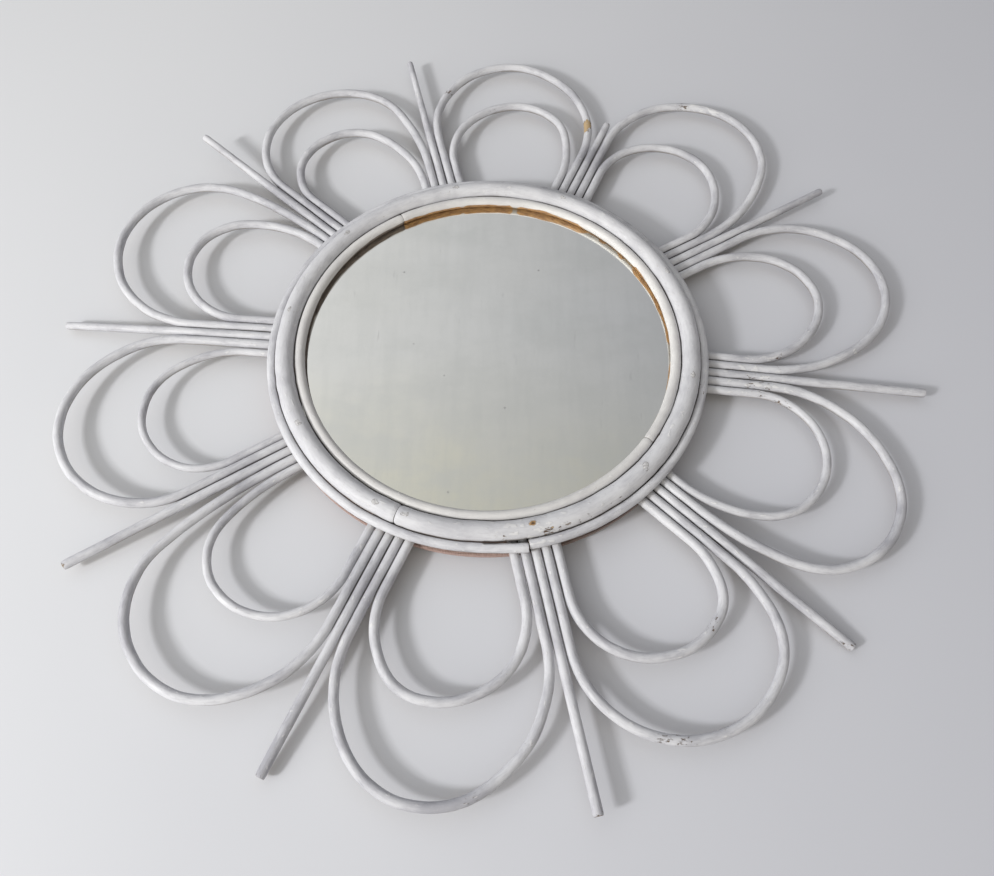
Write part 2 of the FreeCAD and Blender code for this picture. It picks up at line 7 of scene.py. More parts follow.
# %% Load the measured model
import bpy
import math
import numpy as np
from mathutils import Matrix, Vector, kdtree


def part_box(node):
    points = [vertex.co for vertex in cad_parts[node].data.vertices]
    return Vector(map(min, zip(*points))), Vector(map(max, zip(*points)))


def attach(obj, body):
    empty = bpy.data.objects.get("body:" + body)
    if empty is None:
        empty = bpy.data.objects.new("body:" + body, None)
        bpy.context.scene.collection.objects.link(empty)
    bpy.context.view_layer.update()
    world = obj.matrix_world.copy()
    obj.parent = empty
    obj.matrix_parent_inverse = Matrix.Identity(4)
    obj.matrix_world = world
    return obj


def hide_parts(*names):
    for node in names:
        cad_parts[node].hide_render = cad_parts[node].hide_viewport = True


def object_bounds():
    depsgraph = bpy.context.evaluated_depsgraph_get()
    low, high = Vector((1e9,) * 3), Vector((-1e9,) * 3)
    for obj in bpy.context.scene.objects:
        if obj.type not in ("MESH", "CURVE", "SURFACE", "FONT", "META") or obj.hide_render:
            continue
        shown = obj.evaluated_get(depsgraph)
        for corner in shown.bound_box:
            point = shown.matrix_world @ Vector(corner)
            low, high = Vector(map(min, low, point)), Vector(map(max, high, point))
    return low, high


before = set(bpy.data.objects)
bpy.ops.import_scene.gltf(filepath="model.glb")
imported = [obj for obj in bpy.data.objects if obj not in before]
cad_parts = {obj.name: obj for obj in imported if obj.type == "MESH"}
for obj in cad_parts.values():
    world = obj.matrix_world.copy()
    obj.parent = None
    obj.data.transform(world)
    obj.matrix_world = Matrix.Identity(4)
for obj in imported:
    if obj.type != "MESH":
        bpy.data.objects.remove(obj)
model_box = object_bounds()
CANE, POLE, INNER = 0.004, 0.008, 0.0045  # radius of the petal canes, the main ring and the inner ring


def in_mm(box):
    return [[round(1000 * x, 1) for x in corner] for corner in box]


print("box in mm", in_mm(model_box))

# %% [markdown]
# The mirror lies on its back on a pale surface and is seen from above its lower edge. The camera's place
# and lens were worked out from the ellipses that the rings make in the picture, so that the cane lines
# fall on the right spots without any fitting afterwards.

# %% Camera
CAMERA_PLACE = (0.0062, -0.4297, 0.6554)
CAMERA_TURN = (28.131, -0.094, -0.040)  # degrees
scene = bpy.context.scene
lens = bpy.data.cameras.new("camera")
lens.sensor_fit = "HORIZONTAL"
lens.sensor_width = 36
lens.lens = 32.856
camera = bpy.data.objects.new("camera", lens)
camera.location = CAMERA_PLACE
camera.rotation_euler = [math.radians(turn) for turn in CAMERA_TURN]
scene.collection.objects.link(camera)
scene.camera = camera
scene.view_settings.view_transform = "Standard"
print("camera", [round(x, 3) for x in camera.location], "lens", lens.lens)

# %% [markdown]
# Node trees are long to write one socket at a time. One small helper adds a node, sets what it is told,
# and links whatever is given as a socket. The others are short forms for the nodes that come up most:
# sums, soft steps, colour blends and noise. Geometry trees and shader trees both use them.

# %% Helpers that add nodes to a tree
def put(tree, kind, given=None, **settings):
    node = tree.nodes.new(kind)
    for name, value in settings.items():
        setattr(node, name, value)
    for key, value in (given or {}).items():
        if isinstance(value, bpy.types.NodeSocket):
            tree.links.new(value, node.inputs[key])
        else:
            node.inputs[key].default_value = value
    return node


def made(tree, kind, given=None, **settings):
    return put(tree, kind, given, **settings).outputs[0]


def reckon(tree, operation, first, second=0.0, third=0.0):
    return made(tree, "ShaderNodeMath", {0: first, 1: second, 2: third}, operation=operation)


def times(tree, value, factor):
    return reckon(tree, "MULTIPLY", value, factor)


def weigh(tree, value, weight, base):
    return reckon(tree, "MULTIPLY_ADD", value, weight, base)


def vectors(tree, operation, given):
    return put(tree, "ShaderNodeVectorMath", given, operation=operation).outputs


def split(tree, vector):
    return put(tree, "ShaderNodeSeparateXYZ", {0: vector}).outputs


def ease(tree, value, low, high, start=0.0, end=1.0):
    given = {"Value": value, "From Min": low, "From Max": high, "To Min": start, "To Max": end}
    return made(tree, "ShaderNodeMapRange", given, interpolation_type="SMOOTHSTEP")


def blend_colours(tree, share, first, second):
    return put(tree, "ShaderNodeMix", {0: share, 6: first, 7: second}, data_type="RGBA").outputs[2]


def noise(tree, vector, scale, detail, **more):
    given = {"Vector": vector, "Scale": scale, "Detail": detail, **more}
    return put(tree, "ShaderNodeTexNoise", given).outputs["Fac"]


def coordinates(tree, kind="Object"):
    return put(tree, "ShaderNodeTexCoord").outputs[kind]


print("helpers ready")

# %% [markdown]
# The light is a window far off on the left, behind the viewer's shoulder, with the pale wall beside it as a
# weak, broad second light. Its direction was worked out from where the petals' shadows fall.

# %% Window light
def soft_light(name, size, energy, colour, location):
    light = bpy.data.lights.new(name, "AREA")
    light.shape = "SQUARE"
    light.size = size
    light.energy = energy
    light.color = colour
    lamp = bpy.data.objects.new(name, light)
    lamp.location = location
    lamp.rotation_euler = (-lamp.location).to_track_quat("-Z", "Y").to_euler()
    scene.collection.objects.link(lamp)
    print(name, energy, "W, size", size, "m,", round(lamp.location.length, 2), "m away")


soft_light("window", 0.39, 50, (1.0, 0.988, 0.97), (-2.25, -1.46, 1.68))
soft_light("lit_wall", 1.4, 11, (1.0, 1.0, 1.0), (-1.55, -0.95, 0.95))

# %% [markdown]
# The room is bright on the left, darker on the right and low down, and has a warm pale wall behind the
# viewer. It matters twice here: it fills the shadows, and the mirror shows nothing but the room. All of it
# stays at a plain level, so that a colour renders about as it is written.

# %% Room
BRIGHT_SIDE, DIM_SIDE = (0.97, 0.97, 0.955, 1), (0.20, 0.208, 0.245, 1)
CEILING, LOW_DOWN = (0.54, 0.53, 0.46, 1), (0.10, 0.10, 0.115, 1)
WALL_BEHIND = (0.81, 0.74, 0.60, 1)
ROOM_LEVEL = 0.92
room = bpy.data.worlds.new("room")
room.use_nodes = True
scene.world = room
walls = room.node_tree
walls.nodes.clear()
side, depth, height = split(walls, coordinates(walls, "Generated"))
tint = blend_colours(walls, ease(walls, side, -0.66, 0.66), BRIGHT_SIDE, DIM_SIDE)
warm = blend_colours(walls, ease(walls, height, 0.80, 0.95), tint, CEILING)
tint = blend_colours(walls, 0.38, tint, warm)
low = ease(walls, weigh(walls, depth, -0.25, height), 0.0, 0.65, 0.72, 0.0)
tint = blend_colours(walls, low, tint, LOW_DOWN)
tint = blend_colours(walls, ease(walls, depth, 0.0, -0.5, 0.0, 0.6), tint, WALL_BEHIND)
back = made(walls, "ShaderNodeBackground", {"Color": tint, "Strength": ROOM_LEVEL})
put(walls, "ShaderNodeOutputWorld", {"Surface": back})
print("room", len(walls.nodes), "nodes")

# %% [markdown]
# The surface under the mirror is plain and pale, at about the height of the bumpers. The shadows on it
# are a little wider at the lower left, so it is a fraction of a degree out of level with the mirror. It catches
# the soft shadows, and its colour is painted lighter towards the window on the left and darker and bluer to the
# right, as painted light. Seen from below it is clear, so that the back of the mirror can be looked at,
# although little light gets there.

# %% Floor
FLOOR_TILT = (0.35, 0.25)  # degrees across and along
FLOOR_PIVOT = 0.03  # where the tilted floor has its level, on both axes
FLOOR_HALF = 4
# painted light: the floor's colour is lighter towards the window on the left, darker and bluer to the right
FLOOR_PAINTED_DIM, FLOOR_PAINTED_LIT = (0.588, 0.60, 0.657, 1), (0.727, 0.742, 0.777, 1)  # from the window
floor_level = model_box[0].z
slope_x, slope_y = [math.tan(math.radians(tilt)) for tilt in FLOOR_TILT]
floor_spots = [
    (x, y, floor_level + slope_x * (x - FLOOR_PIVOT) + slope_y * (y - FLOOR_PIVOT))
    for x, y in (
        (-FLOOR_HALF, -FLOOR_HALF), (FLOOR_HALF, -FLOOR_HALF),
        (FLOOR_HALF, FLOOR_HALF), (-FLOOR_HALF, FLOOR_HALF))]
floor_mesh = bpy.data.meshes.new("floor")
floor_mesh.from_pydata(floor_spots, [], [(0, 1, 2, 3)])
floor = bpy.data.objects.new("floor", floor_mesh)
scene.collection.objects.link(floor)
floor_paint = bpy.data.materials.new("pale floor")
floor_paint.use_nodes = True
tree = floor_paint.node_tree
tree.nodes.clear()
where = coordinates(tree)
floor_x, floor_y, _ = split(tree, where)
slant = weigh(tree, floor_y, -0.25, floor_x)
# painted light: the share of the lighter floor colour rises towards the window
painted_window_light = ease(tree, weigh(tree, noise(tree, where, 3.0, 3.0), 0.3, slant), 0.75, -0.45)
pale = blend_colours(tree, painted_window_light, FLOOR_PAINTED_DIM, FLOOR_PAINTED_LIT)
matt = made(tree, "ShaderNodeBsdfDiffuse", {"Color": pale})
clear = made(tree, "ShaderNodeBsdfTransparent")
below = put(tree, "ShaderNodeNewGeometry").outputs["Backfacing"]
either = made(tree, "ShaderNodeMixShader", {0: below, 1: matt, 2: clear})
put(tree, "ShaderNodeOutputMaterial", {"Surface": either})
floor_mesh.materials.append(floor_paint)
print("floor at", round(1000 * floor_level, 2), "mm")

# %% [markdown]
# The wear on old paint is never even: it comes in clouds, streaks and specks of several sizes. One group,
# a noise cut to a soft-edged mask, makes all of them, and each finish gives it its own scale and limits.

# %% Shared effect: cloudy mask
def node_group(name, kind, takes, gives):
    tree = bpy.data.node_groups.new(name, kind)
    for label, sort, value in takes:
        socket = tree.interface.new_socket(label, in_out="INPUT", socket_type="NodeSocket" + sort)
        if value is not None:
            socket.default_value = value
    for label, sort in gives:
        tree.interface.new_socket(label, in_out="OUTPUT", socket_type="NodeSocket" + sort)
    return tree, put(tree, "NodeGroupInput").outputs, put(tree, "NodeGroupOutput").inputs


clouds, ask, answer = node_group(
    "cloudy mask", "ShaderNodeTree",
    [("Vector", "Vector", None), ("Scale", "Float", 50.0), ("Detail", "Float", 4.0),
     ("Low", "Float", 0.4), ("High", "Float", 0.7)],
    [("Mask", "Float")])
cloud = noise(clouds, ask["Vector"], ask["Scale"], ask["Detail"], Roughness=0.6)
clouds.links.new(ease(clouds, cloud, ask["Low"], ask["High"]), answer["Mask"])


def masked(tree, vector, scale, low, high, detail=4.0):
    given = {"Vector": vector, "Scale": scale, "Detail": detail, "Low": low, "High": high}
    return put(tree, "ShaderNodeGroup", given, node_tree=clouds).outputs["Mask"]


print("group", clouds.name)

# %% [markdown]
# Hand-painted cane has a whole set of marks: thin patches where the paint shades to lavender grey, brush
# streaks that run along the cane, thick blobs where the brush stopped, grime and painted shade where two
# canes touch, dirt and painted shade low on the sides, and chips that show dark or tan cane. The brush only
# came from the front, so the undersides are raw cane. The group takes a position that was straightened along
# the cane, so that streaks follow every bend, and masks that say where knocks, thick paint and touching
# neighbours are. The coat comes first: how thin it is, and where it is thick.

# %% Shared effect: worn paint, the coat
THICK_WHITE = (0.80, 0.80, 0.805, 1)
paint_wear_and_shade, ask, answer = node_group(
    "worn paint and painted shade", "ShaderNodeTree",
    [("Straight", "Vector", None), ("Worn", "Float", 0.0), ("Blob", "Float", 0.0), ("Grey", "Float", 0.0),
     ("Gap", "Float", 0.01), ("Thickness", "Float", CANE), ("Paint", "Color", None), ("Thin", "Color", None),
     ("Bare", "Color", None), ("Dark", "Color", None)],
    [("Color", "Color"), ("Roughness", "Float"), ("Height", "Float")])
tree = paint_wear_and_shade


def stretched(tree, vector, amount):
    return vectors(tree, "MULTIPLY", {0: vector, 1: (amount, 1.0, 1.0)})[0]


long_way = stretched(tree, ask["Straight"], 0.16)
half_way = stretched(tree, ask["Straight"], 0.45)
patches = masked(tree, ask["Straight"], 9.0, 0.36, 0.68, 6.0)
mottle = masked(tree, half_way, 95.0, 0.40, 0.70, 6.0)
streaks = masked(tree, long_way, 700.0, 0.42, 0.72)
thin = weigh(tree, mottle, 0.42, times(tree, streaks, 0.26))
thin = weigh(tree, patches, 0.36, thin)
thin = reckon(tree, "MINIMUM", weigh(tree, ask["Grey"], 0.7, thin), 1.0)
tone = blend_colours(tree, thin, ask["Paint"], ask["Thin"])
lumps = noise(tree, half_way, 300.0, 3.0)
blob = ease(tree, weigh(tree, ask["Blob"], 0.16, lumps), 0.65, 0.70)
tone = blend_colours(tree, times(tree, blob, 0.5), tone, THICK_WHITE)
print("coat", len(tree.nodes), "nodes")

# %% [markdown]
# On the coat come the dirt and painted shade low on the sides and between neighbours, the unpainted underside,
# small flecks and the chips. A chip is dark, unless the place is so worn that the tan cane lies open.

# %% Shared effect: paint wear and painted shade, the dirt, shade and chips
DIRT_AND_SHADE, GRIME_AND_SHADE, FLECK = (0.20, 0.165, 0.13, 1), (0.09, 0.08, 0.075, 1), (0.29, 0.25, 0.21, 1)
RAW_LIGHT, RAW_DARK = (0.40, 0.285, 0.165, 1), (0.22, 0.15, 0.09, 1)
lean = reckon(tree, "DIVIDE", split(tree, ask["Straight"])[2], ask["Thickness"])
uneven_spots = masked(tree, long_way, 170.0, 0.36, 0.66)
# dirt and painted shade: the lower sides of each cane are darkened, partly as dirt, partly as the shade under
# it
under = ease(tree, weigh(tree, uneven_spots, -0.35, lean), 0.10, -0.70)
soiled_and_shaded = blend_colours(tree, times(tree, under, 0.75), tone, DIRT_AND_SHADE)
# grime and painted shade: the paint is darkened where a neighbour nearly touches, as grime and as the shade in
# the crease
touching = ease(tree, weigh(tree, uneven_spots, -0.0005, ask["Gap"]), 0.0011, 0.0001)
soiled_and_shaded = blend_colours(tree, times(tree, touching, 0.9), soiled_and_shaded, GRIME_AND_SHADE)
unpainted = ease(tree, weigh(tree, uneven_spots, 0.2, lean), -0.58, -0.76)
soiled_and_shaded = blend_colours(tree, unpainted, soiled_and_shaded, blend_colours(tree, mottle, RAW_LIGHT, RAW_DARK))
flecks = times(tree, masked(tree, half_way, 800.0, 0.66, 0.74, 3.0), 0.45)
soiled_and_shaded = blend_colours(tree, flecks, soiled_and_shaded, FLECK)
grit = noise(tree, half_way, 520.0, 6.0, Roughness=0.7)
chip = ease(tree, weigh(tree, ask["Worn"], 0.34, grit), 0.75, 0.80)
wood = masked(tree, long_way, 300.0, 0.34, 0.62)
open_wood = ease(tree, weigh(tree, wood, -0.3, ask["Worn"]), 0.50, 0.72)
chipped = blend_colours(tree, chip, soiled_and_shaded, blend_colours(tree, open_wood, ask["Dark"], ask["Bare"]))
rough = weigh(tree, chip, 0.25, weigh(tree, thin, 0.16, 0.42))
relief = weigh(tree, streaks, 0.22, weigh(tree, mottle, 0.5, times(tree, blob, 0.9)))
relief = weigh(tree, chip, -1.1, relief)
for label, socket in (("Color", chipped), ("Roughness", rough), ("Height", relief)):
    tree.links.new(socket, answer[label])
print("group", paint_wear_and_shade.name, len(tree.nodes), "nodes")

# %% [markdown]
# A material starts from the same few lines each time: an empty tree, a Principled shader and an output.
# The bump node turns a height into a normal, and its distance is written in metres, because the cane is
# only millimetres thick and a large distance would make it look like bark.

# %% Helpers that start and fill a material
def finish_named(name, metallic=0.0):
    material = bpy.data.materials.new(name)
    material.use_nodes = True
    tree = material.node_tree
    tree.nodes.clear()
    surface = put(tree, "ShaderNodeBsdfPrincipled", {"Metallic": metallic})
    put(tree, "ShaderNodeOutputMaterial", {"Surface": surface.outputs[0]})
    return material, tree, surface.inputs


def coat(tree, sockets, colour, roughness, height=None, distance=0.0):
    tree.links.new(colour, sockets["Base Color"])
    if isinstance(roughness, float):
        sockets["Roughness"].default_value = roughness
    else:
        tree.links.new(roughness, sockets["Roughness"])
    if height is not None:
        given = {"Height": height, "Distance": distance, "Strength": 1.0}
        tree.links.new(made(tree, "ShaderNodeBump", given), sockets["Normal"])


def read_mark(tree, name, output="Fac"):
    return put(tree, "ShaderNodeAttribute", attribute_name=name).outputs[output]


print("material helpers ready")

# %% [markdown]
# The canes carry a satin white that has gone slightly lavender. Their tips were knocked most, so the worn
# mask rises towards an end. Small chips look dark, because dirt got in; only larger bare places show the tan
# of the cane. The rings had a thicker coat, which stayed whiter.

# %% Finish: painted cane
TAN, UMBER = (0.49, 0.36, 0.21, 1), (0.14, 0.10, 0.075, 1)
WHITE, LAVENDER = (0.705, 0.713, 0.749, 1), (0.385, 0.387, 0.427, 1)
RING_WHITE, RING_GREY = (0.695, 0.702, 0.735, 1), (0.475, 0.477, 0.515, 1)
TIP_LENGTH = 0.004


def painted(name, thickness, paint, thin, tip_wear):
    material, tree, sockets = finish_named(name)
    tip = ease(tree, read_mark(tree, "tip"), TIP_LENGTH, 0.0, 0.0, tip_wear)
    marks = put(tree, "ShaderNodeGroup", {
        "Straight": read_mark(tree, "straight", "Vector"),
        "Worn": reckon(tree, "MAXIMUM", read_mark(tree, "worn"), tip),
        "Blob": read_mark(tree, "blob"), "Grey": read_mark(tree, "grey"), "Gap": read_mark(tree, "gap"),
        "Thickness": thickness, "Paint": paint, "Thin": thin, "Bare": TAN, "Dark": UMBER,
    }, node_tree=paint_wear_and_shade).outputs
    sockets["Specular IOR Level"].default_value = 0.3
    coat(tree, sockets, marks["Color"], marks["Roughness"], marks["Height"], 0.0002)
    return material


cane_paint = painted("painted cane", CANE, WHITE, LAVENDER, 0.5)
ring_paint = painted("painted ring", POLE, RING_WHITE, RING_GREY, 0.2)
print("finishes", cane_paint.name, ring_paint.name)

# %% [markdown]
# A sawn cane end shows its pith: a grey-brown, blotchy core with tiny dark pores. The pattern is laid out on
# the straightened position, so one finish serves every cane.

# %% Finish: cut cane end
PITH_LIGHT, PITH_DARK, PORE = (0.32, 0.27, 0.22, 1), (0.13, 0.085, 0.055, 1), (0.06, 0.04, 0.03, 1)
cut_end, tree, sockets = finish_named("cut cane end")
straight = read_mark(tree, "straight", "Vector")
pores = put(tree, "ShaderNodeTexVoronoi", {"Vector": straight, "Scale": 1300.0}).outputs["Distance"]
core = blend_colours(tree, masked(tree, straight, 350.0, 0.35, 0.65), PITH_LIGHT, PITH_DARK)
pored = blend_colours(tree, ease(tree, pores, 0.32, 0.12), core, PORE)
coat(tree, sockets, pored, 0.85, pores, 0.0002)
print("finish", cut_end.name)

# %% [markdown]
# Every cane is a round stick swept along a line, so one Geometry Nodes tree makes them all. Its first part
# smooths the line and lets it wander a fraction of a millimetre, as a hand-bent cane does. It notes how far
# along the cane each point lies, how near an end it is, and which way the line runs there.

# %% Geometry Nodes tree: swept cane, the line
sweep, ask, answer = node_group(
    "swept cane", "GeometryNodeTree",
    [("Line", "Geometry", None), ("Thickness", "Float", CANE), ("Sides", "Int", 18), ("Step", "Float", 0.002),
     ("Swell", "Float", 0.06), ("Knot Spacing", "Float", 0.19), ("Knot Rise", "Float", 0.025),
     ("Wander", "Float", 0.0), ("Taper", "Float", 0.0), ("Seed", "Float", 0.0),
     ("Paint", "Material", None), ("End", "Material", None)],
    [("Cane", "Geometry")])
tree = sweep
UP = (0, 0, 1)
FIRM_TO, LOOSE_FROM = 0.07, 0.13  # a cane is held near its ends and wanders only further in


def store(tree, geometry, name, value, kind="FLOAT_VECTOR"):
    given = {"Geometry": geometry, "Name": name, "Value": value}
    return made(tree, "GeometryNodeStoreNamedAttribute", given, data_type=kind, domain="POINT")


def along_noise(tree, run, scale, detail):
    given = {"W": run, "Scale": scale, "Detail": detail}
    return put(tree, "ShaderNodeTexNoise", given, noise_dimensions="1D").outputs["Fac"]


line = made(tree, "GeometryNodeMeshToCurve", {"Mesh": ask["Line"]})
line = made(tree, "GeometryNodeCurveSplineType", {"Curve": line}, spline_type="CATMULL_ROM")
line = made(tree, "GeometryNodeResampleCurve", {"Curve": line, "Length": ask["Step"]}, mode="LENGTH")
run = put(tree, "GeometryNodeSplineParameter").outputs["Length"]
whole = put(tree, "GeometryNodeSplineLength").outputs["Length"]
tip = reckon(tree, "MINIMUM", run, reckon(tree, "SUBTRACT", whole, run))
shifted = reckon(tree, "ADD", run, ask["Seed"])
tangent = made(tree, "GeometryNodeInputTangent")
waver = reckon(tree, "SUBTRACT", along_noise(tree, shifted, 24.0, 1.0), 0.5)
astray = times(tree, times(tree, waver, ease(tree, tip, FIRM_TO, LOOSE_FROM)), ask["Wander"])
aside = vectors(tree, "CROSS_PRODUCT", {0: tangent, 1: UP})[0]
shift = vectors(tree, "SCALE", {0: aside, "Scale": astray})[0]
line = made(tree, "GeometryNodeSetPosition", {"Geometry": line, "Offset": shift})
line = store(tree, line, "run", shifted, "FLOAT")
line = store(tree, line, "tip", tip, "FLOAT")
line = store(tree, line, "axis", made(tree, "GeometryNodeInputPosition"))
line = store(tree, line, "heading", tangent)
print("line part", len(tree.nodes), "nodes")

# %% [markdown]
# The second part sweeps a circle along the line. The thickness swells, shrinks and tapers a little as grown
# cane does, there are faint growth knots, and the rims of the sawn ends are rounded. Last, each point stores
# its straightened position, because the paint's streaks need that once the cane is bent.

# %% Geometry Nodes tree: swept cane, the skin
def named(tree, name, kind="FLOAT_VECTOR"):
    return made(tree, "GeometryNodeInputNamedAttribute", {"Name": name}, data_type=kind)


def smooth_and_paint(tree, geometry, smooth, material, **chosen):
    geometry = made(tree, "GeometryNodeSetShadeSmooth", {
        "Geometry": geometry, "Shade Smooth": smooth, **chosen})
    geometry = made(tree, "GeometryNodeRealizeInstances", {"Geometry": geometry})
    return made(tree, "GeometryNodeSetMaterial", {"Geometry": geometry, "Material": material, **chosen})


slim = reckon(tree, "SUBTRACT", 1.0, times(tree, ask["Swell"], along_noise(tree, shifted, 22.0, 4.0)))
from_knot = reckon(tree, "PINGPONG", shifted, times(tree, ask["Knot Spacing"], 0.5))
knot = times(tree, ease(tree, from_knot, 0.0, 0.004, 1.0, 0.0), ask["Knot Rise"])
tapered = times(tree, ease(tree, reckon(tree, "DIVIDE", run, whole), 0.3, 1.0), ask["Taper"])
rounded = times(tree, ease(tree, tip, 0.0, 0.0015, 0.90, 1.0), reckon(tree, "SUBTRACT", 1.0, tapered))
girth = times(tree, reckon(tree, "ADD", slim, knot), rounded)
hoop = made(tree, "GeometryNodeCurvePrimitiveCircle", {"Resolution": ask["Sides"], "Radius": ask["Thickness"]})
line = made(tree, "GeometryNodeSetCurveNormal", {"Curve": line}, mode="Z_UP")
skin = made(tree, "GeometryNodeCurveToMesh", {
    "Curve": line, "Profile Curve": hoop, "Scale": girth, "Fill Caps": True})
out = vectors(tree, "SUBTRACT", {0: made(tree, "GeometryNodeInputPosition"), 1: named(tree, "axis")})[0]
sideways = vectors(tree, "CROSS_PRODUCT", {0: named(tree, "heading"), 1: UP})[0]
across = vectors(tree, "DOT_PRODUCT", {0: out, 1: sideways})["Value"]
straight = made(tree, "ShaderNodeCombineXYZ", {
    0: named(tree, "run", "FLOAT"), 1: across, 2: split(tree, out)[2]})
skin = store(tree, skin, "straight", straight)
for name in ("run", "axis", "heading"):
    skin = made(tree, "GeometryNodeRemoveAttribute", {"Geometry": skin, "Name": name})
corners = put(tree, "GeometryNodeInputMeshFaceNeighbors").outputs["Vertex Count"]
sawn = reckon(tree, "GREATER_THAN", corners, 4.5)  # only the end caps have more than four corners
skin = smooth_and_paint(tree, skin, True, ask["Paint"])
skin = smooth_and_paint(tree, skin, False, ask["End"], Selection=sawn)
tree.links.new(skin, answer["Cane"])
print("tree", sweep.name, len(tree.nodes), "nodes")

# %% [markdown]
# The lines to sweep along are not written out again: they are read back from the measured model. On a
# round stick every surface normal points straight away from the middle, so a corner of the mesh minus its
# normal times the stick's radius lands on the middle line. Only spots where many corners land are kept.

# %% Read middle points from the model
LEVEL_SLACK = 0.0001  # how far a middle point may lie off its cane's level
ENOUGH_CORNERS = 6


def read_spots(mesh):
    spots = np.empty(len(mesh.vertices) * 3, np.float32)
    mesh.vertices.foreach_get("co", spots)
    return spots.reshape(-1, 3)


def corner_middles(node, thickness):
    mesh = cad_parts[node].data
    corner = np.empty(len(mesh.loops), np.int32)
    mesh.loops.foreach_get("vertex_index", corner)
    ways = np.empty(len(mesh.loops) * 3, np.float32)
    mesh.corner_normals.foreach_get("vector", ways)
    ways = ways.reshape(-1, 3)
    return read_spots(mesh)[corner] - thickness * ways, ways


def crowded(middles):
    cells, counts = np.unique(np.round(middles, 4), axis=0, return_counts=True)
    return cells[counts >= ENOUGH_CORNERS]


def middle_points(node, thickness):
    middles, _ = corner_middles(node, thickness)
    return crowded(middles[np.abs(middles[:, 2] - np.median(middles[:, 2])) < LEVEL_SLACK])


print("first petal:", len(middle_points("outer_petal_01", CANE)), "middle points")

# %% [markdown]
# The points are then sorted round the loop or along the spoke, and spaced out evenly. Some spokes are bowed
# at their free end, so a spoke only has to be level near the ring. Three of the inner petals were bent from
# thinner cane than the rest.

# %% Sort the points into lines
THIN_CANES = {"inner_petal_06": 0.0033, "inner_petal_07": 0.0035, "inner_petal_10": 0.0036}
BOWED_FROM = 0.21  # distance from the middle where a spoke may leave its level
CLOSEST = 0.0006  # points nearer than this are left out
START_SLACK = 0.02  # degrees, so that a point right at the start isn't sorted last


def spread(points, longest=0.004):
    kept = [points[0]]
    for point in points[1:]:
        gap = np.linalg.norm(point - kept[-1])
        if gap < min(CLOSEST, longest / 2):
            continue
        pieces = max(1, math.ceil(gap / longest))
        start = kept[-1]
        kept += [start + (point - start) * step / pieces for step in range(1, pieces + 1)]
    return np.array(kept)


def round_order(points, heart, start):
    turns = np.degrees(np.arctan2(points[:, 1] - heart[1], points[:, 0] - heart[0]))
    return points[np.argsort((turns - start + START_SLACK) % 360)]


def petal_line(node, thickness):
    points = middle_points(node, thickness)
    heart = points.mean(axis=0)
    return spread(round_order(points, heart, math.degrees(math.atan2(-heart[1], -heart[0]))))


def spoke_line(node, thickness):
    middles, ways = corner_middles(node, thickness)
    outward = middles.mean(axis=0) * (1, 1, 0)
    round_side = np.abs(ways @ outward) < 0.5 * np.linalg.norm(outward)
    reach = np.hypot(middles[:, 0], middles[:, 1])
    level = np.median(middles[reach < BOWED_FROM, 2])
    allowed = (reach > BOWED_FROM) | (np.abs(middles[:, 2] - level) < LEVEL_SLACK)
    points = crowded(middles[round_side & allowed])
    return spread(points[np.argsort(np.hypot(points[:, 0], points[:, 1]))])


trial = petal_line("outer_petal_01", CANE)
trial_length = np.linalg.norm(np.diff(trial, axis=0), axis=1).sum()
print("first petal:", len(trial), "points,", round(1000 * trial_length), "mm long")

# %% [markdown]
# Knocks and rubbing left bare patches in certain places, mostly on the crowns of the petals and at the tips
# of the spokes. In other places the coat is thin and grey, or thick and lumpy. Each is given as a place, a
# size and a strength, and is written on the mesh as a mask that fades with distance. The finish then breaks
# that mask up into real chips, patches and lumps.

# %% Places where the paint is worn: x, y and size in millimetres, and strength
WORN = [
    (94, 259, 7, 1.1), (96, 264, 8, 1.25), (97, 269, 6, 1.1), (-42, 312, 9, 0.6), (7, 283, 12, 0.45),
    (194, 286, 16, 0.55), (243, 270, 9, 0.45), (224, -35, 22, 0.55), (245, -10, 16, 0.5),
    (240, -57, 16, 0.6), (175, -45, 10, 0.5), (129, -323, 24, 0.58), (164, -237, 14, 0.5),
    (-7, -360, 16, 0.45), (37, -330, 26, 0.42), (-154, -342, 8, 0.5), (74, -366, 8, 0.45),
    (263, -254, 16, 0.6), (44, -171, 4, 0.75), (49, -170, 4, 0.75), (61, -166, 5, 0.6), (13, -177, 4, 0.7),
    (-297, -87, 12, 0.5), (-321, -192, 7, 0.7), (123, -121, 7, 0.5), (166, -36, 6, 0.55),
    (69, -163, 5, 0.62), (55, -168, 4, 0.55), (78, -159, 5, 0.62), (86, -155, 5, 0.6), (94, -150, 5, 0.58),
    (103, -144, 5, 0.55),
]
GREYED = [
    (195, 223, 18, 0.6), (105, 221, 26, 0.8), (-148, 155, 28, 0.7), (-184, 176, 42, 0.7),
    (-219, 140, 18, 0.4), (-250, 184, 18, 0.5), (-283, -48, 28, 0.5), (-188, -138, 40, 0.5),
    (-266, -226, 42, 0.5), (-90, -205, 36, 0.5), (-138, -316, 50, 0.8), (-24, -360, 32, 0.9),
    (72, -350, 34, 0.6), (160, -316, 16, 0.5), (315, -161, 42, 0.8), (336, 107, 18, 0.5),
    (300, 173, 45, 0.7), (-80, 350, 20, 0.7), (219, -16, 22, 0.4), (-178, 160, 34, 0.6),
    (340, 20, 170, 0.2), (200, -300, 170, 0.22), (-60, -330, 110, 0.18), (330, -160, 120, 0.22),
]
BLOBS = [(207, 284, 34, 1.0), (95, 263, 16, 0.7), (-290, 60, 30, 0.7), (230, -30, 40, 0.6), (30, -170, 40, 0.5)]
STEEPNESS = 1.6  # a mask reaches its full strength well before the middle of its place


def write_mark(mesh, name, values):
    mesh.attributes.new(name, "FLOAT", "POINT").data.foreach_set("value", values)


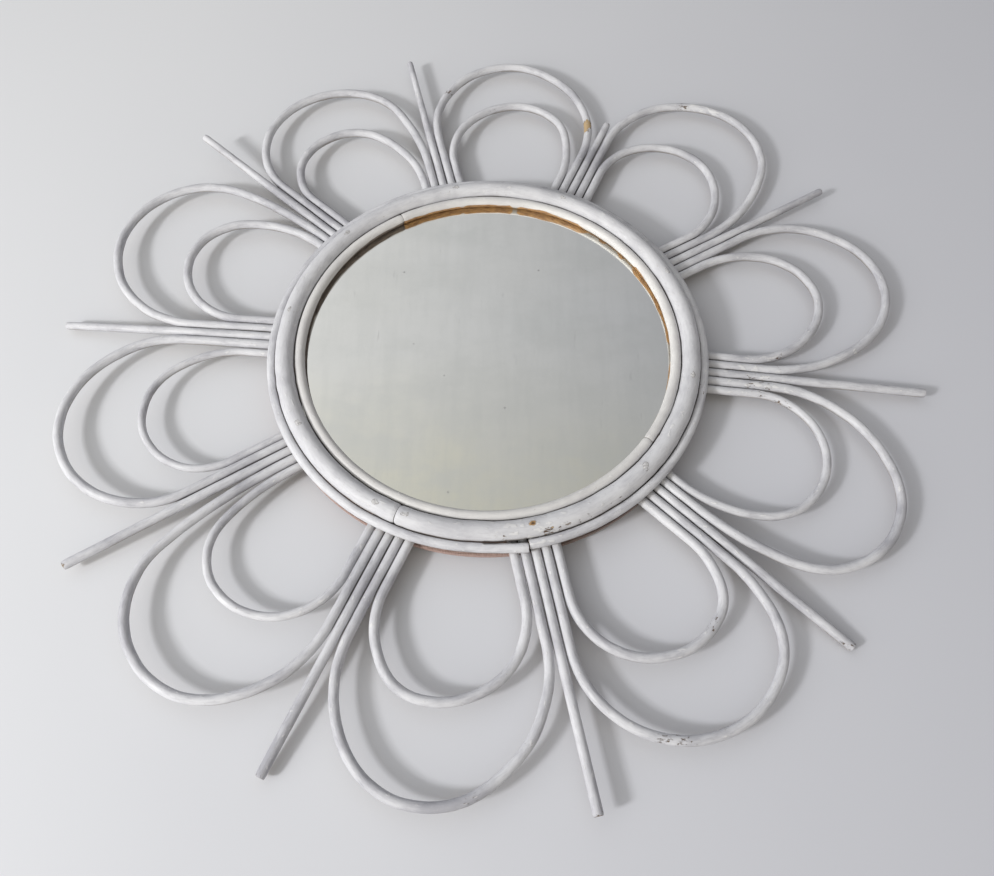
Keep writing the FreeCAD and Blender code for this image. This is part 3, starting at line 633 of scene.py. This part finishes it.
def mark_places(mesh, name, places):
    flat = 1000 * read_spots(mesh)[:, :2]
    mask = np.zeros(len(flat), np.float32)
    for x, y, size, strength in places:
        near = np.clip(1 - np.hypot(flat[:, 0] - x, flat[:, 1] - y) / size, 0, 1)
        mask = np.maximum(mask, strength * np.minimum(1, STEEPNESS * near))
    write_mark(mesh, name, mask)


print("worn places", len(WORN), "grey places", len(GREYED), "thick places", len(BLOBS))

# %% [markdown]
# Now the tree can be put to work. A cane's line becomes a temporary object with the tree as a modifier, the
# result is turned into a plain mesh, and that mesh is what rides on the frame in place of the model's node.

# %% Helpers that run a tree and sweep one cane
middle_lines = {}


def run_tree(group, start_mesh, name, settings):
    holder = bpy.data.objects.new(start_mesh.name, start_mesh)
    scene.collection.objects.link(holder)
    modifier = holder.modifiers.new(group.name, "NODES")
    modifier.node_group = group
    for item in group.interface.items_tree:
        if item.in_out == "INPUT" and item.name in settings:
            modifier[item.identifier] = settings[item.name]
    mesh = bpy.data.meshes.new_from_object(holder.evaluated_get(bpy.context.evaluated_depsgraph_get()))
    mesh.name = name
    piece = bpy.data.objects.new(name, mesh)
    scene.collection.objects.link(piece)
    bpy.data.objects.remove(holder)
    return piece


def grow_cane(node, line, slot, **sizes):
    middle_lines[node] = (spread(line, 0.001), sizes["Thickness"])
    wire = bpy.data.meshes.new(node + "_line")
    wire.from_pydata([tuple(map(float, p)) for p in line], [(i, i + 1) for i in range(len(line) - 1)], [])
    piece = run_tree(sweep, wire, node + "_cane", {"End": cut_end, **sizes})
    for name, places in (("worn", WORN), ("blob", BLOBS), ("grey", GREYED)):
        mark_places(piece.data, name, places)
    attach(piece, "frame")
    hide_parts(node)
    return piece


def count_faces(pieces):
    return sum(len(piece.data.polygons) for piece in pieces)


print("helpers ready")

# %% [markdown]
# The petals come first. Each is one length of cane, bent while it was steamed, with both feet tucked under
# the rings. The seed shifts the swelling, the knots and the paint pattern from one cane to the next.

# %% Petals
petals = []
for layer, first_seed in (("outer", 0.0), ("inner", 50.0)):
    for number in range(1, 11):
        node = "%s_petal_%02d" % (layer, number)
        thickness = THIN_CANES.get(node, CANE)
        petals.append(grow_cane(node, petal_line(node, thickness), "painted_cane", **{
            "Thickness": thickness, "Wander": 0.0012, "Seed": 3.17 * number + first_seed, "Paint": cane_paint}))
print(len(petals), "petal canes,", count_faces(petals), "faces")

# %% [markdown]
# The spokes are lengths of the same cane, sawn off at both ends and nearly straight. Their outer ends show,
# and the upper ones thin out a little towards the tip.

# %% Spokes
TAPERS = {2: 0.16, 3: 0.12, 4: 0.24, 5: 0.14, 6: 0.14}
USUAL_TAPER = 0.04
spokes = []
for number in range(1, 11):
    node = "spoke_%02d" % number
    spokes.append(grow_cane(node, spoke_line(node, CANE), "painted_cane", **{
        "Thickness": CANE, "Taper": TAPERS.get(number, USUAL_TAPER), "Seed": 1.9 * number + 120,
        "Paint": cane_paint}))
print(len(spokes), "spokes,", count_faces(spokes), "faces")

# %% [markdown]
# The inner ring was only painted from above. Its underside, which the mirror shows, is bare tan cane; on the
# left-hand length it is coloured dark brown as painted shade. There are daubs where the brush slipped under.
# The finish is the painted one, with the bare cane mixed in below the ring's waist along a ragged line.

# %% Finish: half-painted inner ring
INNER_WHITE, INNER_GREY = (0.73, 0.725, 0.72, 1), (0.55, 0.54, 0.555, 1)


def half_painted(name, bare, dark):
    material, tree, sockets = finish_named(name)
    straight = read_mark(tree, "straight", "Vector")
    marks = put(tree, "ShaderNodeGroup", {
        "Straight": straight, "Worn": read_mark(tree, "worn"), "Gap": read_mark(tree, "gap"),
        "Thickness": INNER, "Paint": INNER_WHITE, "Thin": INNER_GREY, "Bare": bare, "Dark": dark,
    }, node_tree=paint_wear_and_shade).outputs
    long_way = stretched(tree, straight, 0.35)
    lean = reckon(tree, "DIVIDE", split(tree, straight)[2], INNER)
    ragged = noise(tree, long_way, 160.0, 4.0)
    edge = weigh(tree, ragged, 0.9, reckon(tree, "ADD", lean, read_mark(tree, "daub")))
    below = ease(tree, edge, 0.72, 0.52)
    cane_tone = blend_colours(tree, masked(tree, long_way, 420.0, 0.35, 0.70), bare, dark)
    colour = blend_colours(tree, below, marks["Color"], cane_tone)
    coat(tree, sockets, colour, marks["Roughness"], weigh(tree, below, -0.6, marks["Height"]), 0.00012)
    return material


tan_side = half_painted("half painted ring, tan", (0.43, 0.235, 0.085, 1), (0.23, 0.115, 0.045, 1))
# painted shade: the left-hand length's bare cane is coloured dark brown to stand for the shade on it
shaded_side = half_painted("half painted ring, painted shade", (0.19, 0.15, 0.125, 1), (0.09, 0.07, 0.06, 1))
print("finishes", tan_side.name, "and", shaded_side.name)

# %% [markdown]
# Three rings hold it all together: a thick pole nailed down over the cane feet, a thin cane round its foot
# and a thinner one than the pole inside, which presses on the glass. Each is bent round and butt-jointed; the
# inner one is in two lengths. One end of the outer ring has sprung a little away from the pole, which leaves
# the dark slit that shows there.

# %% Rings
RING_SLACK = 0.0004  # how far a middle point may lie off its ring's radius
POLE_SKIN = 0.0079  # swept a little under the pole's radius, to leave room for its knots


def ring_line(node, thickness, start, sprung=0.0):
    points = middle_points(node, thickness)
    off = np.hypot(points[:, 0], points[:, 1])
    off -= np.median(off)
    return spread(round_order(points[(off > -RING_SLACK) & (off < RING_SLACK + sprung)], (0, 0), start))


rings = [
    grow_cane("main_ring", ring_line("main_ring", POLE, -113.5), "painted_ring", **{
        "Thickness": POLE_SKIN, "Sides": 32, "Knot Spacing": 0.34, "Knot Rise": 0.010, "Swell": 0.012,
        "Seed": 210.0, "Paint": ring_paint}),
    grow_cane("outer_ring", ring_line("outer_ring", CANE, -80, 0.003), "painted_ring", **{
        "Thickness": CANE, "Knot Spacing": 0.27, "Seed": 230.0, "Swell": 0.02, "Paint": cane_paint}),
]
INNER_RINGS = [("inner_ring_right", -36, 250.0, tan_side), ("inner_ring_left", 120, 270.0, shaded_side)]
for node, start, seed, paint in INNER_RINGS:
    rings.append(grow_cane(node, ring_line(node, INNER, start), "painted_inner_ring", **{
        "Thickness": INNER, "Sides": 20, "Seed": seed, "Swell": 0.02, "Paint": paint}))
print(len(rings), "ring lengths,", count_faces(rings), "faces")

# %% [markdown]
# The daubs under the inner ring lie on its own circle, so each is given as a turn round the mirror, a size and
# a strength, and becomes a place like the others.

# %% Daubs under the inner ring: turn in degrees, size in millimetres, and strength
DAUBS = [
    (99, 5, 1.2), (81, 6, 1.2), (52, 16, 1.1), (44, 18, 1.1), (36, 13, 1.1), (21, 18, 0.5), (10, 20, 0.6),
    (-2, 18, 1.0), (-20, 20, 0.8), (150, 30, 0.3), (172, 30, 0.6),
]
DAUB_CIRCLE = 157  # millimetres
daub_places = [
    (DAUB_CIRCLE * math.cos(math.radians(turn)), DAUB_CIRCLE * math.sin(math.radians(turn)), size, strength)
    for turn, size, strength in DAUBS]
for ring in rings[2:]:
    mark_places(ring.data, "daub", daub_places)
print(len(DAUBS), "daubs")

# %% [markdown]
# Where two canes nearly touch the paint is darkened, partly as dirt where no brush gets in and partly as
# painted shade in the crease, so the lines between canes are dark. For every point of a cane the nearest middle
# line of another cane is looked up, and the free gap to that neighbour is written on the mesh for the finish to
# read.
# Behind the sprung end of the outer ring the slit is wider, so gaps count for less there and the slit is
# darkened just as much, as painted shade.

# %% Gaps between neighbouring canes
SLIT_TURN, SLIT_HALF, SLIT_SHARE = -85.5, 5.5, 0.4  # degrees, degrees, and how much a gap counts there
NEARLY_TOUCHING = 0.001


def mark_gaps(piece, node):
    own = ("inner_ring_right", "inner_ring_left") if node.startswith("inner_ring") else (node,)
    others = [pair for name, pair in middle_lines.items() if name not in own]
    spots = np.concatenate([points for points, _ in others])
    girths = np.concatenate([np.full(len(points), girth) for points, girth in others])
    finder = kdtree.KDTree(len(spots))
    for index, spot in enumerate(spots):
        finder.insert(spot, index)
    finder.balance()
    gaps = np.empty(len(piece.data.vertices), np.float32)
    for vertex in piece.data.vertices:
        _, index, far = finder.find(vertex.co)
        gaps[vertex.index] = far - girths[index]
    # painted shade: in the slit behind the sprung end the gaps count for less, so the slit is darkened like a
    # crease
    if node in ("main_ring", "outer_ring"):
        turns = [math.degrees(math.atan2(vertex.co.y, vertex.co.x)) for vertex in piece.data.vertices]
        gaps[np.abs(np.array(turns) - SLIT_TURN) < SLIT_HALF] *= SLIT_SHARE
    write_mark(piece.data, "gap", gaps)
    return int((gaps < NEARLY_TOUCHING).sum())


touching_points = [mark_gaps(piece, node) for node, piece in zip(middle_lines, petals + spokes + rings)]
print("points that nearly touch a neighbour", sum(touching_points))

# %% [markdown]
# The main ring is nailed down on every bundle. The nail heads were filled and painted over, and show as low
# uneven pads with cracks in the paint; one has rusted through. A tree sets one small pad on each nail's
# place, bent to the ring's roundness, and shakes its outline a little.

# %% Geometry Nodes tree: nail pads
pads, ask, answer = node_group(
    "nail pads", "GeometryNodeTree",
    [("Places", "Geometry", None), ("Width", "Float", 0.0032), ("Rise", "Float", 0.00022),
     ("Bend", "Float", POLE_SKIN), ("Paint", "Material", None)],
    [("Pads", "Geometry")])
tree = pads
ball = made(tree, "GeometryNodeMeshUVSphere", {"Segments": 28, "Rings": 14, "Radius": 1.0})
unit = made(tree, "GeometryNodeInputPosition")
ball = store(tree, ball, "pad", unit)
flat_x, flat_y, flat_z = split(tree, unit)
wide = times(tree, flat_y, times(tree, ask["Width"], 0.72))
drop = reckon(tree, "DIVIDE", times(tree, wide, wide), times(tree, ask["Bend"], -2.0))
shaped = made(tree, "ShaderNodeCombineXYZ", {
    0: times(tree, flat_x, ask["Width"]), 1: wide, 2: weigh(tree, flat_z, ask["Rise"], drop)})
ball = made(tree, "GeometryNodeSetPosition", {"Geometry": ball, "Position": shaped})
facing = made(tree, "ShaderNodeCombineXYZ", {2: named(tree, "turn", "FLOAT")})
set_out = made(tree, "GeometryNodeInstanceOnPoints", {
    "Points": ask["Places"], "Instance": ball, "Rotation": facing})
set_out = made(tree, "GeometryNodeRealizeInstances", {"Geometry": set_out})
uneven = put(tree, "ShaderNodeTexNoise", {"Vector": unit, "Scale": 330.0, "Detail": 1.0}).outputs["Color"]
uneven = vectors(tree, "SUBTRACT", {0: uneven, 1: (0.5, 0.5, 0.5)})[0]
uneven = vectors(tree, "MULTIPLY", {0: uneven, 1: (0.003, 0.003, 0.0)})[0]
set_out = made(tree, "GeometryNodeSetPosition", {"Geometry": set_out, "Offset": uneven})
tree.links.new(smooth_and_paint(tree, set_out, True, ask["Paint"]), answer["Pads"])
print("tree", pads.name, len(tree.nodes), "nodes")

# %% [markdown]
# A pad's paint has cracks and a dirty rim. On the rusted nail the same ragged outline shows brown rust, darkest
# in the middle.

# %% Finish: painted nail pad
PAD_WHITE, PAD_GREY, CRACK = (0.72, 0.72, 0.73, 1), (0.52, 0.515, 0.54, 1), (0.17, 0.16, 0.155, 1)
RUST_CORE, RUST_EDGE = (0.13, 0.075, 0.04, 1), (0.44, 0.27, 0.12, 1)
pad_paint, tree, sockets = finish_named("painted nail pad")
where = coordinates(tree)
ragged = noise(tree, where, 900.0, 4.0)
flat_pad = vectors(tree, "MULTIPLY", {0: read_mark(tree, "pad", "Vector"), 1: (1, 1, 0)})[0]
from_middle = vectors(tree, "LENGTH", {0: flat_pad})["Value"]
out_there = weigh(tree, ragged, 0.5, reckon(tree, "SUBTRACT", from_middle, 0.25))
rim = ease(tree, out_there, 0.66, 0.88)
crack = reckon(tree, "SUBTRACT", noise(tree, where, 420.0, 2.0, Distortion=0.6), 0.5)
crack = ease(tree, reckon(tree, "ABSOLUTE", crack), 0.035, 0.008)
crack = reckon(tree, "MAXIMUM", times(tree, crack, 0.7), times(tree, rim, 0.45))
tone = blend_colours(tree, masked(tree, where, 500.0, 0.35, 0.70), PAD_WHITE, PAD_GREY)
tone = blend_colours(tree, crack, tone, CRACK)
rust = blend_colours(tree, ease(tree, out_there, 0.18, 0.60), RUST_CORE, RUST_EDGE)
show_rust = times(tree, read_mark(tree, "rusted"), ease(tree, out_there, 0.78, 0.62))
tone = blend_colours(tree, show_rust, tone, rust)
coat(tree, sockets, tone, weigh(tree, show_rust, 0.4, 0.42), weigh(tree, crack, -1.0, ragged), 0.00012)
print("finish", pad_paint.name)

# %% [markdown]
# The places of the pads are read from the heads of the measured nails: points near the top of the nails that
# lie close together belong to one head. A pad is turned so that its long side follows the ring.

# %% Nail pads
HEAD_DEPTH, HEAD_REACH, HEADS_APART = 0.0002, 0.0045, 0.006
PAD_SINK = 0.00024  # how far a pad's middle lies under the ring's crest
RUSTED_NAIL, RUSTED_WITHIN = (34, -166), 8  # millimetres
spots = read_spots(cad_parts["ring_nails"].data)
heads = spots[spots[:, 2] > spots[:, 2].max() - HEAD_DEPTH]
groups = []
for head in heads:
    if all(np.hypot(*(head - other.mean(axis=0))[:2]) > HEADS_APART for other in groups):
        groups.append(heads[np.hypot(heads[:, 0] - head[0], heads[:, 1] - head[1]) < HEAD_REACH])
nail_spots = [group.mean(axis=0) for group in groups]
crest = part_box("main_ring")[1].z - PAD_SINK
turns = [math.atan2(y, x) + math.pi / 2 for x, y, _ in nail_spots]
rusty = [
    float(math.hypot(1000 * x - RUSTED_NAIL[0], 1000 * y - RUSTED_NAIL[1]) < RUSTED_WITHIN)
    for x, y, _ in nail_spots]
places_mesh = bpy.data.meshes.new("nail_places")
places_mesh.from_pydata([(float(x), float(y), crest) for x, y, _ in nail_spots], [], [])
write_mark(places_mesh, "turn", turns)
write_mark(places_mesh, "rusted", rusty)
nail_pads = run_tree(pads, places_mesh, "nail_pads", {"Paint": pad_paint})
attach(nail_pads, "frame")
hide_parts("ring_nails")
print(len(nail_spots), "nail pads,", int(sum(rusty)), "rusted,", count_faces([nail_pads]), "faces")

# %% [markdown]
# The glass is old mirror glass: faintly green, yellower towards its lower edge, with wiped smears and slanting
# strokes that dull the reflection a little, a few fine scratches and some specks. Near the lower edge its
# colour is also painted brighter on the left and darker on the right, as painted light and shade in the
# reflection. It is a smooth metal-like surface, and the marks only touch its roughness and, slightly, its
# colour.

# %% Finish: mirror
SILVER = (0.945, 0.948, 0.925, 1)
YELLOW_LIT_LEFT, YELLOW_SHADED_RIGHT = (0.99, 0.975, 0.85, 1), (0.88, 0.86, 0.725, 1)
SMEARED, HAZY = (0.85, 0.86, 0.835, 1), (0.90, 0.895, 0.85, 1)
STROKED, SCRATCHED = (0.80, 0.81, 0.785, 1), (0.42, 0.42, 0.42, 1)


def turned(tree, vector, turn, scale):
    return made(tree, "ShaderNodeMapping", {"Vector": vector, "Rotation": (0, 0, turn), "Scale": scale})


mirror, tree, sockets = finish_named("mirror glass", metallic=1.0)
where = coordinates(tree)
slanted = turned(tree, where, -0.6, (1.0, 0.14, 1.0))
smears = masked(tree, turned(tree, where, 0.9, (0.6, 1.0, 1.0)), 26.0, 0.36, 0.72, 8.0)
haze = masked(tree, where, 9.0, 0.35, 0.70, 5.0)
strokes = masked(tree, slanted, 75.0, 0.38, 0.68, 5.0)
few = masked(tree, where, 24.0, 0.48, 0.62, 2.0)
scratches = times(tree, masked(tree, slanted, 190.0, 0.64, 0.76, 3.0), few)
specks = put(tree, "ShaderNodeTexVoronoi", {"Vector": where, "Scale": 26.0, "Randomness": 1.0})
specks = ease(tree, specks.outputs["Distance"], 0.034, 0.018)
over, along, _ = split(tree, where)
toward_lower_edge = ease(tree, weigh(tree, haze, 0.06, along), 0.02, -0.15)
# painted light and shade in the reflection: the lower band is brighter on the left and darker on the right
yellow_lit_and_shaded = blend_colours(tree, ease(tree, over, -0.12, 0.12), YELLOW_LIT_LEFT, YELLOW_SHADED_RIGHT)
silver = blend_colours(tree, toward_lower_edge, SILVER, yellow_lit_and_shaded)
for mark, strength, colour in ((smears, 0.75, SMEARED), (haze, 0.35, HAZY), (strokes, 0.28, STROKED)):
    silver = blend_colours(tree, times(tree, mark, strength), silver, colour)
marked = reckon(tree, "MAXIMUM", times(tree, scratches, 0.22), times(tree, specks, 0.5))
silver = blend_colours(tree, marked, silver, SCRATCHED)
coat(tree, sockets, silver, weigh(tree, marked, 0.4, weigh(tree, smears, 0.12, 0.02)))
print("finish", mirror.name)

# %% [markdown]
# The backing board is pinkish-brown hardboard: pressed wood fibre, smooth on the face and with a fine
# wire-screen print on the back. Two wave textures crossed make the screen. The rim that shows under the
# outer ring is painted darker on its right-hand side, as painted shade.

# %% Finish: hardboard
BOARD_PALE, BOARD_DEEP = (0.47, 0.33, 0.295, 1), (0.36, 0.245, 0.215, 1)
STAIN, BOARD_SHADE = (0.30, 0.20, 0.165, 1), (0.13, 0.105, 0.095, 1)


def screen(tree, vector, direction):
    given = {"Vector": vector, "Scale": 160.0, "Distortion": 0.6}
    return put(tree, "ShaderNodeTexWave", given, bands_direction=direction).outputs["Fac"]


hardboard, tree, sockets = finish_named("hardboard")
where = coordinates(tree)
fibre = masked(tree, where, 420.0, 0.30, 0.75, 6.0)
stain = masked(tree, where, 14.0, 0.38, 0.70, 5.0)
board_tone = blend_colours(tree, fibre, BOARD_PALE, BOARD_DEEP)
board_tone = blend_colours(tree, times(tree, stain, 0.45), board_tone, STAIN)
board_x, _, board_z = split(tree, where)
# painted shade: the visible front rim of the board is darkened on its right-hand side
painted_shade_right = times(tree, ease(tree, board_x, 0.03, 0.07, 0.0, 0.75), ease(tree, board_z, 0.0002, 0.0012))
board_tone = blend_colours(tree, painted_shade_right, board_tone, BOARD_SHADE)
wire_print = times(tree, screen(tree, where, "X"), screen(tree, where, "Y"))
coat(tree, sockets, board_tone, 0.72, weigh(tree, fibre, 0.5, wire_print), 0.00025)
print("finish", hardboard.name)

# %% [markdown]
# What is left is small: the grey card behind the glass, plain workshop metal and two dark rubber bumpers. The
# tacks are blued, the nails are rusting, and the hanger with its loose wire loop is zinc-plated. All metals
# share one recipe of blotches and fine scratches.

# %% Finishes: card, metal and rubber
def plain_metal(name, clean, stained, scale, low, high, rough):
    material, tree, sockets = finish_named(name, metallic=1.0)
    where = coordinates(tree)
    blotch = masked(tree, where, scale, low, high, 6.0)
    scratch = masked(tree, turned(tree, where, 0.0, (1.0, 0.06, 1.0)), 2600.0, 0.45, 0.75, 2.0)
    colour = blend_colours(tree, blotch, clean, stained)
    shine = weigh(tree, scratch, 0.10, weigh(tree, blotch, 0.28, rough))
    coat(tree, sockets, colour, shine, weigh(tree, blotch, 0.6, scratch), 0.00004)
    return material


nail_steel = plain_metal("rusting nail", (0.42, 0.40, 0.38, 1), (0.26, 0.11, 0.045, 1), 800.0, 0.35, 0.65, 0.35)
tack_steel = plain_metal("blued tack", (0.16, 0.17, 0.20, 1), (0.20, 0.12, 0.07, 1), 500.0, 0.50, 0.75, 0.30)
zinc = plain_metal("zinc plate", (0.62, 0.63, 0.64, 1), (0.40, 0.40, 0.39, 1), 220.0, 0.40, 0.75, 0.26)

card, tree, sockets = finish_named("grey card")
flecks = masked(tree, coordinates(tree), 700.0, 0.35, 0.70, 5.0)
card_tone = blend_colours(tree, flecks, (0.40, 0.37, 0.32, 1), (0.29, 0.26, 0.22, 1))
coat(tree, sockets, card_tone, 0.9, flecks, 0.0001)

rubber, tree, sockets = finish_named("dark rubber")
where = coordinates(tree)
bloom = masked(tree, where, 120.0, 0.45, 0.75)
rubber_tone = blend_colours(tree, bloom, (0.030, 0.030, 0.032, 1), (0.085, 0.083, 0.080, 1))
coat(tree, sockets, rubber_tone, 0.7, masked(tree, where, 1600.0, 0.35, 0.65, 3.0), 0.00006)
print("finishes", nail_steel.name, tack_steel.name, zinc.name, card.name, rubber.name)

# %% [markdown]
# Some nodes of the measured model already have the right shape, such as the glass, the board and the hanger.
# They are shown as they are and only get their finish.

# %% Give the carried-over nodes their finishes
FINISHES = {
    "mirror_glass": mirror, "backing_board": hardboard, "card_packing": card, "outer_ring_brads": nail_steel,
    "inner_ring_brads": nail_steel, "board_tacks": tack_steel, "hanger_rivets": zinc, "hanger_strap": zinc,
    "hanger_loop": zinc, "back_bumpers": rubber,
}
for node, material in FINISHES.items():
    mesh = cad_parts[node].data
    mesh.materials.clear()
    mesh.materials.append(material)
print("nodes finished", len(FINISHES))
